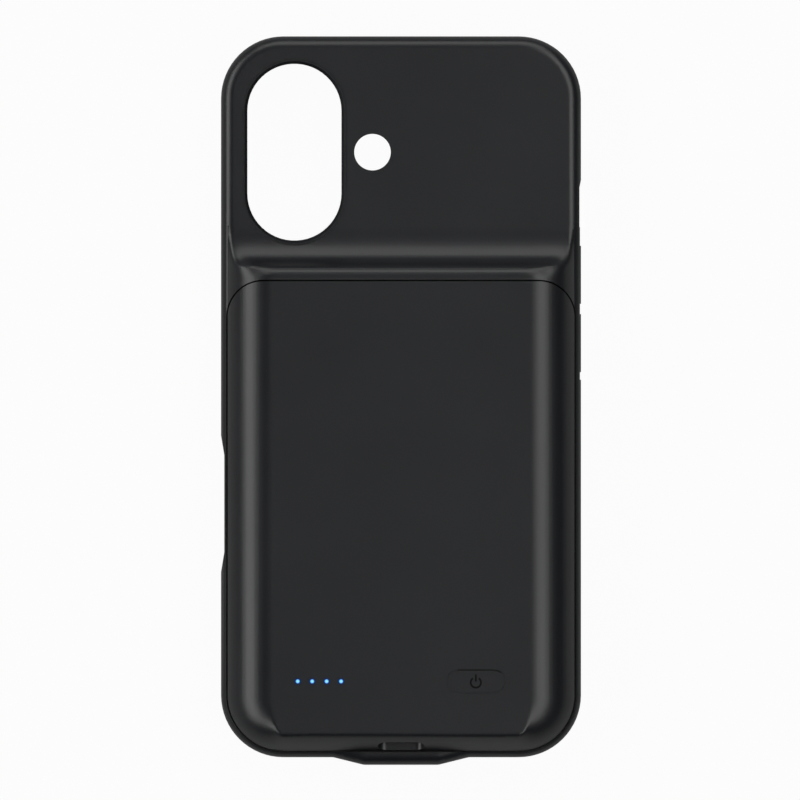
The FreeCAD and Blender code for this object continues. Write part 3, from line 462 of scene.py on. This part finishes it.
class Shape:
    """A bmesh in the making, in metres, that ends as an object at the origin."""

    def __init__(self) -> None:
        """Starts an empty mesh."""
        self.mesh = bmesh.new()

    def block(self, low: Sequence[float], high: Sequence[float]) -> "Shape":
        """Adds a box.

        Args:
            low: lowest corner.
            high: highest corner.

        Returns:
            This shape.
        """
        centre = (Vector(low) + Vector(high)) / 2.0
        span = Vector(high) - Vector(low)
        place = Matrix.Translation(centre) @ Matrix.Diagonal((*span, 1.0))
        bmesh.ops.create_cube(self.mesh, size=1.0, matrix=place)
        return self

    def swept_bar(self, centre: Vector, radius: float, line: float, height: float, start: float,
                  sweep: float) -> "Shape":
        """Adds a flat bar bent round an upright axis.

        Args:
            centre: middle of the bend, on the bar's underside.
            radius: radius of the bar's middle line.
            line: width of the bar.
            height: thickness of the bar.
            start: angle of its first end.
            sweep: angle that it turns through.

        Returns:
            This shape.
        """
        turn = Matrix.Rotation(start, 4, "Z")
        corners = ((-line / 2, 0.0), (line / 2, 0.0), (line / 2, height), (-line / 2, height))
        verts = [self.mesh.verts.new(centre + turn @ Vector((radius + out, 0.0, up))) for out, up in corners]
        face = self.mesh.faces.new(verts)
        bmesh.ops.spin(self.mesh, geom=[face, *face.edges, *verts], cent=centre, axis=(0.0, 0.0, 1.0),
                       angle=sweep, steps=40, use_merge=False)
        bmesh.ops.recalc_face_normals(self.mesh, faces=list(self.mesh.faces))
        return self.in_order()

    def in_order(self) -> "Shape":
        """Numbers vertices and faces by place, because a spin's own order changes from run to run.

        Returns:
            This shape.
        """
        for index, vert in enumerate(sorted(self.mesh.verts, key=lambda vert: tuple(vert.co))):
            vert.index = index
        self.mesh.verts.sort()
        middles = {face: tuple(face.calc_center_median()) for face in self.mesh.faces}
        for index, face in enumerate(sorted(middles, key=middles.get)):
            face.index = index
        self.mesh.faces.sort()
        return self

    def ring(self, centre: Vector, inner: float, outer: float) -> "Shape":
        """Adds a flat ring that faces up.

        Args:
            centre: the ring's middle.
            inner: inner radius.
            outer: outer radius.

        Returns:
            This shape.
        """
        place = Matrix.Translation(centre)
        made = bmesh.ops.create_circle(self.mesh, cap_ends=True, radius=outer, segments=48, matrix=place)
        face = next(iter({face for vert in made["verts"] for face in vert.link_faces}))
        bmesh.ops.inset_region(self.mesh, faces=[face], use_boundary=True, use_even_offset=True,
                               thickness=outer - inner)
        bmesh.ops.delete(self.mesh, geom=[face], context="FACES")
        return self

    def smooth(self, limit: float) -> "Shape":
        """Shades the faces smooth, with sharp edges where they turn by more than a limit.

        Args:
            limit: the angle in radians.

        Returns:
            This shape.
        """
        for face in self.mesh.faces:
            face.smooth = True
        for edge in self.mesh.edges:
            edge.smooth = not edge.is_manifold or edge.calc_face_angle(0.0) < limit
        return self

    def finish(self, name: str, material: bpy.types.Material, body: str, slot: str) -> bpy.types.Object:
        """Turns the bmesh into an object that rides on a body.

        Args:
            name: the piece's name.
            material: its finish.
            body: the body it moves with.
            slot: the record's material slot; not used.

        Returns:
            The object.
        """
        data = bpy.data.meshes.new(name)
        self.mesh.to_mesh(data)
        self.mesh.free()
        data.materials.append(material)
        piece = bpy.data.objects.new(name, data)
        bpy.context.scene.collection.objects.link(piece)
        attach(piece, body)
        LOG.info("piece %s on %s", name, body)
        return piece


class Finish(Enum):
    """The record's material slots and the finish of each."""

    shell_plastic = SatinPlastic("shell_plastic", (0.0055, 0.0061, 0.0074), roughness=0.335)
    key_plastic = SatinPlastic("key_plastic", (0.0055, 0.0061, 0.0074), roughness=0.335)
    lining_plastic = SatinPlastic("lining_plastic", (0.016, 0.016, 0.0165), roughness=0.72,
                                  grain=0.0004, depth=0.00004)
    plug_plastic = SatinPlastic("plug_plastic", (0.012, 0.012, 0.012), roughness=0.5)
    plug_metal = DrawnMetal("plug_metal", (0.62, 0.62, 0.63))
    tab_metal = DrawnMetal("tab_metal", (0.66, 0.63, 0.56))
    cell_pouch = Speckled("cell_pouch", (0.55, 0.56, 0.57), (0.44, 0.45, 0.46), grain=0.004,
                          roughness=0.35, depth=0.00005, metallic=1.0)
    tape = Speckled("tape", (0.72, 0.72, 0.69), (0.62, 0.62, 0.58), grain=0.002, roughness=0.4)
    foam = Speckled("foam", (0.03, 0.03, 0.03), (0.012, 0.012, 0.012), grain=0.0003, roughness=0.9,
                    depth=0.0001)
    board = Speckled("board", (0.012, 0.09, 0.035), (0.02, 0.14, 0.05), grain=0.0015, roughness=0.35)
    red_wire = Speckled("red_wire", (0.45, 0.012, 0.01), (0.36, 0.01, 0.008), grain=0.001, roughness=0.4)
    black_wire = Speckled("black_wire", (0.014, 0.014, 0.014), (0.02, 0.02, 0.02), grain=0.001, roughness=0.4)
    flex_film = Speckled("flex_film", (0.36, 0.15, 0.02), (0.28, 0.11, 0.012), grain=0.0012, roughness=0.35)
    chip = Speckled("chip", (0.014, 0.014, 0.015), (0.02, 0.02, 0.02), grain=0.0003, roughness=0.55)
    ferrite = Speckled("ferrite", (0.07, 0.07, 0.075), (0.05, 0.05, 0.052), grain=0.0004, roughness=0.6,
                       depth=0.00003)
    ceramic = Speckled("ceramic", (0.3, 0.21, 0.11), (0.24, 0.17, 0.09), grain=0.0006, roughness=0.45)


def ease(value: float, low: float, high: float) -> float:
    """Smooth step from 0 to 1.

    Args:
        value: the value to place.
        low: where the step starts.
        high: where it ends.

    Returns:
        The share of the step.
    """
    share = min(max((value - low) / (high - low), 0.0), 1.0)
    return share * share * (3.0 - 2.0 * share)


@dataclass
class SoftShell:
    """A moulded shell with round flanks, as a merged copy of its node whose creases are drawn soft."""

    node: str
    flat_level: float = 17.0 * MM
    flank_x: float = 27.2 * MM
    flank_radius: float = 10.14 * MM
    step: float = 0.4 * MM
    chord: float = 0.12 * MM
    weld: float = 0.002 * MM
    snap: float = 0.001 * MM
    least_up: float = 0.02
    sharp: float = math.radians(32.0)

    def wanted(self, face: bmesh.types.BMFace) -> bool:
        """Whether a face belongs to the skin that is drawn soft."""
        raise NotImplementedError

    def cuts(self) -> tuple[list[float], list[float]]:
        """X and Y of the lines that divide the skin finely enough to bend."""
        raise NotImplementedError

    def level(self, x: float, y: float) -> float:
        """Height of the soft skin at a point of the plan."""
        raise NotImplementedError

    def flank(self, x: float) -> float:
        """Height of the round flank.

        Args:
            x: distance from the middle plane.

        Returns:
            The height in metres.
        """
        out = min(max(abs(x) - self.flank_x, 0.0), self.flank_radius)
        return self.flat_level - self.flank_radius + math.sqrt(self.flank_radius ** 2 - out ** 2)

    def steps(self, low: float, high: float) -> list[float]:
        """Even cuts over a span.

        Args:
            low: start of the span.
            high: end of the span.

        Returns:
            The places of the cuts.
        """
        count = max(round((high - low) / self.step), 1)
        return [low + (high - low) * index / count for index in range(count + 1)]

    def divide(self, mesh: bmesh.types.BMesh, mark: bmesh.types.BMLayerItem) -> None:
        """Cuts the marked skin along the lines.

        Args:
            mesh: the merged copy.
            mark: the layer that holds 1 on the skin's faces.
        """
        across, along = self.cuts()
        planes = [(Vector((x, 0.0, 0.0)), Vector((1.0, 0.0, 0.0))) for x in across]
        planes += [(Vector((0.0, y, 0.0)), Vector((0.0, 1.0, 0.0))) for y in along]
        for point, normal in planes:
            faces = [face for face in mesh.faces if face[mark]]
            edges = {edge for face in faces for edge in face.edges}
            verts = {vert for face in faces for vert in face.verts}
            bmesh.ops.bisect_plane(mesh, geom=[*faces, *edges, *verts], dist=self.snap, plane_co=point,
                                   plane_no=normal)

    def settle(self, mesh: bmesh.types.BMesh, mark: bmesh.types.BMLayerItem) -> None:
        """Lowers the marked skin to the soft form.

        Args:
            mesh: the merged copy.
            mark: the layer that holds 1 on the skin's faces.
        """
        skin = [face for face in mesh.faces if face[mark]]
        for vert in {vert for face in skin for vert in face.verts}:
            level = self.level(vert.co.x, vert.co.y)
            if level < vert.co.z + self.chord:
                vert.co.z = level
        bmesh.ops.triangulate(mesh, faces=skin)
        bmesh.ops.dissolve_degenerate(mesh, dist=self.weld, edges=list(mesh.edges))

    def build(self, nodes: Mapping[str, bpy.types.Object], material: bpy.types.Material) -> None:
        """Copies the node, cuts its skin, lowers it to the soft form and lets the copy stand for the node.

        Args:
            nodes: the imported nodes.
            material: the shell's finish.
        """
        shape = Shape()
        mesh = shape.mesh
        mesh.from_mesh(nodes[self.node].data)
        bmesh.ops.remove_doubles(mesh, verts=list(mesh.verts), dist=self.weld)
        mark = mesh.faces.layers.int.new("soft_skin")
        for face in mesh.faces:
            face[mark] = int(self.wanted(face))
        self.divide(mesh, mark)
        self.settle(mesh, mark)
        shape.smooth(self.sharp)
        piece = shape.finish(f"{self.node}_shell", material, CASE_BODY, "shell_plastic")
        weigh = piece.modifiers.new("even_normals", "WEIGHTED_NORMAL")
        weigh.keep_sharp = True
        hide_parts(self.node)


@dataclass
class SoftBumper(SoftShell):
    """The frame, whose shoulders run round from the flanks into the ramp."""

    node: str = "bumper"
    crest_y: float = 25.86 * MM
    crest_radius: float = 3.0 * MM
    hollow_y: float = 28.58 * MM
    hollow_radius: float = 6.0 * MM
    run_y: float = 31.2 * MM
    run_radius: float = 12.0 * MM
    foot_y: float = 36.84 * MM
    foot_level: float = 11.1 * MM
    side_x: float = 36.4 * MM
    rim_x: float = 35.2 * MM
    rim_radius: float = 2.7 * MM
    softness: float = 2.4 * MM
    foot_fade: float = 3.0 * MM
    crest_fade: tuple[float, float] = (0.6 * MM, 1.6 * MM)
    flank_fade: tuple[float, float] = (1.0 * MM, 4.0 * MM)
    crest_slope: float = 2.0
    skin_y: float = 17.0 * MM
    foot_slack: float = 0.005 * MM
    side_slack: float = 0.05 * MM
    cut_margin: float = 2.0 * MM

    def wanted(self, face: bmesh.types.BMFace) -> bool:
        """The ramp and the ends of the flanks beside it.

        Args:
            face: a face of the node.

        Returns:
            Whether it is drawn soft.
        """
        middle = face.calc_center_median()
        return (middle.z > self.foot_level - self.foot_slack and self.skin_y < middle.y < self.foot_y
                and face.normal.z > self.least_up and abs(middle.x) < self.side_x + self.side_slack)

    def cuts(self) -> tuple[list[float], list[float]]:
        """Lines over both shoulders."""
        right = self.steps(self.flank_x - self.cut_margin, self.side_x)
        return [*right, *(-x for x in right)], self.steps(self.crest_y, self.foot_y)

    def ramp(self, y: float) -> float:
        """Height of the ramp: a round crest, a hollow and a long run-out.

        Args:
            y: place along the case.

        Returns:
            The height in metres.
        """
        if y < self.crest_y:
            return self.flat_level + self.crest_slope * (self.crest_y - y)
        if y < self.hollow_y:
            return self.flat_level - self.crest_radius + math.sqrt(
                self.crest_radius ** 2 - (y - self.crest_y) ** 2)
        if y < self.run_y:
            tilt = math.asin((self.foot_y - self.run_y) / self.run_radius)
            base = self.foot_level + self.run_radius * (1.0 - math.cos(tilt))
            centre_y = self.run_y + self.hollow_radius * math.sin(tilt)
            centre_z = base + self.hollow_radius * math.cos(tilt)
            return centre_z - math.sqrt(max(self.hollow_radius ** 2 - (centre_y - y) ** 2, 0.0))
        if y < self.foot_y:
            return self.foot_level + self.run_radius - math.sqrt(
                self.run_radius ** 2 - (self.foot_y - y) ** 2)
        return self.foot_level

    def rim(self, x: float) -> float:
        """Height of the camera end's back and of its round edge.

        Args:
            x: distance from the middle plane.

        Returns:
            The height in metres.
        """
        out = min(max(abs(x) - self.rim_x, 0.0), self.rim_radius)
        return self.foot_level - self.rim_radius + math.sqrt(self.rim_radius ** 2 - out ** 2)

    def level(self, x: float, y: float) -> float:
        """Lower of flank and ramp, with a round between them that fades towards the rim, foot and cover.

        Args:
            x: distance from the middle plane.
            y: place along the case.

        Returns:
            The height in metres.
        """
        flank, ramp = self.flank(x), self.ramp(y)
        flank += (self.rim(x) - flank) * ease(y, self.hollow_y, self.foot_y)
        lower = min(flank, ramp)
        overlap = max(self.softness - abs(flank - ramp), 0.0)
        share = ease(lower, self.foot_level, self.foot_level + self.foot_fade)
        share *= ease(y, self.crest_y - self.crest_fade[0], self.crest_y + self.crest_fade[1])
        share *= ease(abs(x), self.flank_x - self.flank_fade[0], self.flank_x + self.flank_fade[1])
        return lower - share * overlap * overlap / (4.0 * self.softness)


@dataclass
class SoftCover(SoftShell):
    """The cover, whose flanks run round its bottom corners and narrow into the bottom face."""

    node: str = "back_cover"
    edge_level: float = 10.9 * MM
    side_x: float = 36.5 * MM
    bottom_y: float = -73.7 * MM
    corner: float = 11.7 * MM
    lean: float = 2.7 * MM
    tail_share: float = 0.87
    port_half: float = 5.0 * MM
    port_depth: float = 0.5 * MM
    port_turn: float = 0.5
    skin_depth: float = 0.6 * MM
    cut_x: float = 22.0 * MM
    halvings: int = 30

    def wanted(self, face: bmesh.types.BMFace) -> bool:
        """The flanks, the bottom face and the end of the flat between them.

        Args:
            face: a face of the node.

        Returns:
            Whether it is drawn soft.
        """
        middle = face.calc_center_median()
        turned = (abs(middle.x) > self.flank_x
                  or min(vert.co.y for vert in face.verts) < self.bottom_y + self.corner)
        port = (abs(middle.x) < self.port_half and abs(face.normal.y) < self.port_turn
                and middle.z < self.flat_level - self.port_depth)
        return (face.normal.z > self.least_up
                and self.level(middle.x, middle.y) - middle.z < self.skin_depth
                and middle.z > self.edge_level and turned and not port)

    def cuts(self) -> tuple[list[float], list[float]]:
        """Lines over both corners and along the bottom edge."""
        right = self.steps(self.cut_x, self.side_x)
        return [*right, *(-x for x in right)], self.steps(self.bottom_y, self.bottom_y + self.corner)

    def inward(self, level: float, share: float) -> float:
        """Distance from the cover's edge at which the skin reaches a height.

        Args:
            level: the height.
            share: 0 on the flank, 1 on the bottom face.

        Returns:
            The distance in metres.
        """
        rise = level - (self.flat_level - self.flank_radius)
        flank = self.side_x - self.flank_x - math.sqrt(max(self.flank_radius ** 2 - rise ** 2, 0.0))
        tail = self.lean * (level - self.edge_level) / (self.flat_level - self.edge_level)
        return flank * (1.0 - share) + tail * share

    def share(self, turn: float) -> float:
        """How far the skin has changed from flank to bottom face, so that the flat ends on an ellipse.

        Args:
            turn: angle round the corner's middle, 0 at the flank and a right angle at the bottom.

        Returns:
            The share, 0 on the flank.
        """
        flank = self.side_x - self.flank_x
        near = self.corner - flank
        far = near + self.tail_share * (flank - self.lean)
        reach = 1.0 / math.hypot(math.cos(turn) / near, math.sin(turn) / far)
        return (reach - near) / (flank - self.lean)

    def level(self, x: float, y: float) -> float:
        """Height on the swept flank, found by halving.

        Args:
            x: distance from the middle plane.
            y: place along the case.

        Returns:
            The height in metres.
        """
        aside = max(abs(x) - self.side_x + self.corner, 0.0)
        down = max(self.bottom_y + self.corner - y, 0.0)
        if down == 0.0:
            return self.flank(x)
        depth = self.corner - math.hypot(aside, down)
        share = self.share(math.atan2(down, aside))
        low, high = self.edge_level, self.flat_level
        for _ in range(self.halvings):
            middle = (low + high) / 2.0
            if self.inward(middle, share) < depth:
                low = middle
            else:
                high = middle
        return min(high, self.flank(x))


@dataclass
class PowerMark:
    """The usual on and off sign, printed darker than the button that carries it."""

    outer: float = 1.27 * MM
    line: float = 0.38 * MM
    drop: float = 0.25 * MM
    stem_low: float = 0.2 * MM
    stem_high: float = 1.7 * MM
    thickness: float = 0.02 * MM
    opening: float = math.radians(70.0)
    ink: Colour = (0.0032, 0.0032, 0.0034)

    def build(self) -> None:
        """Lays the open ring and its stem on the button's face."""
        low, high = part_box("power_button")
        centre = Vector(((low.x + high.x) / 2.0, (low.y + high.y) / 2.0 - self.drop, high.z))
        half = self.line / 2.0
        shape = Shape()
        shape.swept_bar(centre, self.outer - half, self.line, self.thickness,
                        math.pi / 2.0 + self.opening / 2.0, math.tau - self.opening)
        shape.block((centre.x - half, centre.y + self.stem_low, centre.z),
                    (centre.x + half, centre.y + self.stem_high, centre.z + self.thickness))
        shape.finish("power_mark", Ink("mark_ink", self.ink).build(), BUTTON_BODY, "key_plastic")


@dataclass
class ButtonSeal:
    """Soft lip in the slot round the button, which leaves the slot open along its top."""

    length: float = 11.9 * MM
    width: float = 4.45 * MM
    gap: float = 0.3 * MM
    clearance: float = 0.03 * MM
    sink: float = 0.06 * MM
    height: float = 0.3 * MM
    open_from: float = math.radians(50.0)

    def build(self, material: bpy.types.Material) -> None:
        """Runs the lip down the left end, along the bottom and up the right end.

        Args:
            material: the shell's finish.
        """
        low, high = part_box("power_button")
        centre = (low + high) / 2.0
        reach = (self.length - self.width) / 2.0
        radius = (self.width + self.gap) / 2.0
        line = self.gap - 2.0 * self.clearance
        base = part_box("back_cover")[1].z - self.sink - self.height
        left = Vector((centre.x - reach, centre.y, base))
        right = Vector((centre.x + reach, centre.y, base))
        quarter = math.pi / 2.0
        shape = Shape()
        shape.swept_bar(left, radius, line, self.height, quarter, math.pi)
        shape.swept_bar(right, radius, line, self.height, -quarter, quarter + self.open_from)
        shape.block((left.x, centre.y - radius - line / 2.0, base),
                    (right.x, centre.y - radius + line / 2.0, base + self.height))
        shape.finish("button_seal", material, CASE_BODY, "shell_plastic")


@dataclass
class StatusLights:
    """Four light pins in the cover and the light that spills round them."""

    count: int = 4
    margin: float = 1.4 * MM
    radius: float = 0.45 * MM
    spill: float = 0.95 * MM
    lift: float = 0.004 * MM
    core: Colour = (0.34, 0.9, 1.0)
    rim: Colour = (0.005, 0.06, 0.3)
    halo: Colour = (0.004, 0.03, 0.17)

    def dress(self, nodes: Mapping[str, bpy.types.Object]) -> None:
        """Makes the pins glow and adds the spill.

        Args:
            nodes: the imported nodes.
        """
        low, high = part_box("light_guide")
        pitch = (high.x - low.x - 2.0 * self.margin) / (self.count - 1)
        row = PinRow(low.x + self.margin, (low.y + high.y) / 2.0, pitch)
        lens = LitLens("led_lens", self.core, self.rim, row, self.radius).build()
        for name in ("light_guide", "status_leds"):
            put_on(nodes[name], lens)
        spill = LightSpill("light_spill", self.halo, row, self.radius, self.spill).build()
        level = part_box("back_cover")[1].z + self.lift
        shape = Shape()
        for index in range(self.count):
            centre = Vector((row.first_x + index * row.pitch, row.row_y, level))
            shape.ring(centre, self.radius, self.spill)
        shape.finish("light_spill", spill, CASE_BODY, "led_lens")


@dataclass
class Contacts:
    """Gold contact strips on both faces of the charging socket's tongue."""

    count: int = 12
    pitch: float = 0.5 * MM
    width: float = 0.25 * MM
    thickness: float = 0.03 * MM
    length: float = 3.6 * MM
    setback: float = 0.4 * MM
    tongue_half: float = 0.35 * MM
    gold: Colour = (0.78, 0.56, 0.2)

    def build(self) -> None:
        """Lays both rows on the tongue."""
        gold = DrawnMetal("contact_gold", self.gold, roughness=0.22).build()
        low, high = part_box("charge_socket_tongue")
        level = (low.z + high.z) / 2.0
        start = low.y + self.setback
        shape = Shape()
        for index in range(self.count):
            x = (index - (self.count - 1) / 2.0) * self.pitch
            for face in (level + self.tongue_half, level - self.tongue_half - self.thickness):
                shape.block((x - self.width / 2.0, start, face),
                            (x + self.width / 2.0, start + self.length, face + self.thickness))
        shape.finish("socket_contacts", gold, CASE_BODY, "plug_metal")


@dataclass(frozen=True)
class SoftBox:
    """A lamp, placed by the direction that it is seen in from the part.

    The bearing turns from +X towards +Y, the lean is from straight up, and the spread is half of the angle
    that the lamp fills, across and along. These are in degrees. A glow of 1 is white.
    """

    name: str
    bearing: float
    lean: float
    spread: tuple[float, float]
    glow: float

    def hang(self, reach: float) -> None:
        """Adds the lamp.

        Args:
            reach: its distance from the origin.
        """
        turn, tip = math.radians(self.bearing), math.radians(self.lean)
        across, along = (2.0 * reach * math.tan(math.radians(angle)) for angle in self.spread)
        data = bpy.data.lights.new(self.name, "AREA")
        data.shape = "RECTANGLE"
        data.size, data.size_y = across, along
        data.energy = self.glow * math.pi * across * along
        lamp = bpy.data.objects.new(self.name, data)
        lamp.matrix_world = (Matrix.Rotation(turn, 4, "Z") @ Matrix.Rotation(tip, 4, "Y")
                             @ Matrix.Translation((0.0, 0.0, reach)))
        bpy.context.scene.collection.objects.link(lamp)


@dataclass
class Studio:
    """White floor, soft boxes and a camera that looks straight down."""

    pixels_per_metre: float = 4746.0
    frame_pixels: float = 800.0
    centre_pixel: tuple[float, float] = (401.0, 400.6)
    outline_level: float = 4.0 * MM
    lens: float = 1500.0
    sensor: float = 36.0
    reach: float = 3.0
    boxes: tuple[SoftBox, ...] = (
        SoftBox("left_box", bearing=180.0, lean=55.0, spread=(14.5, 37.0), glow=3.2),
        SoftBox("right_box", bearing=0.0, lean=28.5, spread=(15.0, 37.0), glow=2.6),
        SoftBox("top_box", bearing=90.0, lean=58.0, spread=(15.0, 27.0), glow=2.1),
        SoftBox("over_box", bearing=0.0, lean=0.0, spread=(6.5, 6.5), glow=0.55))
    surround: Colour = (0.03, 0.03, 0.03)
    paper: Colour = (0.36, 0.36, 0.36)
    floor_half: float = 3.0
    floor_drop: float = 0.05 * MM
    straight_share: float = 0.96
    mirrored_share: float = 0.1

    def camera(self) -> None:
        """Places the camera so that the outline falls where the photograph has it."""
        data = bpy.data.cameras.new("camera")
        data.lens = self.lens
        data.sensor_width = self.sensor
        data.clip_start = 0.05
        data.clip_end = 40.0
        view = self.frame_pixels / self.pixels_per_metre
        distance = view * self.lens / self.sensor
        half = self.frame_pixels / 2.0
        camera = bpy.data.objects.new("camera", data)
        camera.location = ((half - self.centre_pixel[0]) / self.pixels_per_metre,
                           (self.centre_pixel[1] - half) / self.pixels_per_metre,
                           self.outline_level + distance)
        bpy.context.scene.collection.objects.link(camera)
        bpy.context.scene.camera = camera

    def floor(self) -> None:
        """Lays a white floor that keeps a faint shadow."""
        graph = Graph("floor")
        paper = graph.node("ShaderNodeBsdfDiffuse", {}, {"Color": (*self.paper, 1.0)})
        white = graph.node("ShaderNodeEmission", {}, {"Color": (1.0, 1.0, 1.0, 1.0), "Strength": 1.0})
        graph.close(graph.node("ShaderNodeMixShader", {}, {0: self.seen(graph), 1: paper, 2: white}))
        mesh = bmesh.new()
        bmesh.ops.create_grid(mesh, x_segments=1, y_segments=1, size=self.floor_half,
                              matrix=Matrix.Translation((0.0, 0.0, -self.floor_drop)))
        data = bpy.data.meshes.new("floor")
        mesh.to_mesh(data)
        mesh.free()
        data.materials.append(graph.material)
        plane = bpy.data.objects.new("floor", data)
        bpy.context.scene.collection.objects.link(plane)

    def seen(self, graph: Graph) -> Socket:
        """How much of the plain white each kind of ray sees: nearly all of it straight, a little mirrored.

        Args:
            graph: the tree to add to.

        Returns:
            The share.
        """
        straight = graph.node("ShaderNodeLightPath", {}, {}, "Is Camera Ray")
        mirrored = graph.node("ShaderNodeLightPath", {}, {}, "Is Glossy Ray")
        through = graph.node("ShaderNodeLightPath", {}, {}, "Is Transmission Ray")
        return straight * self.straight_share + mirrored * self.mirrored_share + through * self.mirrored_share

    def world(self) -> None:
        """Adds even light from all round."""
        world = bpy.data.worlds.new("studio")
        world.use_nodes = True
        world.node_tree.nodes["Background"].inputs["Color"].default_value = (*self.surround, 1.0)
        bpy.context.scene.world = world

    def build(self) -> None:
        """Sets the camera, the floor, the surroundings and the lamps."""
        self.camera()
        self.floor()
        self.world()
        for box in self.boxes:
            box.hang(self.reach)


def put_on(node: bpy.types.Object, material: bpy.types.Material) -> None:
    """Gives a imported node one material.

    Args:
        node: the node's object.
        material: the finish.
    """
    node.data.materials.clear()
    node.data.materials.append(material)


def dress_nodes(frame: Mapping[str, Any]) -> None:
    """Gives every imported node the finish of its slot.

    Args:
        frame: the loaded frame.
    """
    made = {finish.name: finish.value.build() for finish in Finish}
    for part in frame["record"]["subparts"]:
        material = made.get(part["material_slot"])
        if material is not None:
            put_on(frame["nodes"][part["node"]], material)
            LOG.info("node %s in %s", part["node"], part["material_slot"])


def main() -> None:
    """Loads the frame, dresses it and sets the studio."""
    logging.basicConfig(level=logging.INFO, format="%(message)s")
    for thing in list(bpy.data.objects):
        bpy.data.objects.remove(thing)
    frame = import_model()
    dress_nodes(frame)
    for shell in (SoftBumper(), SoftCover()):
        shell.build(frame["nodes"], frame["nodes"][shell.node].data.materials[0])
    PowerMark().build()
    ButtonSeal().build(frame["nodes"]["back_cover"].data.materials[0])
    StatusLights().dress(frame["nodes"])
    Contacts().build()
    Studio().build()
    bpy.context.scene.view_settings.view_transform = "Standard"


if __name__ == "__main__":
    main()
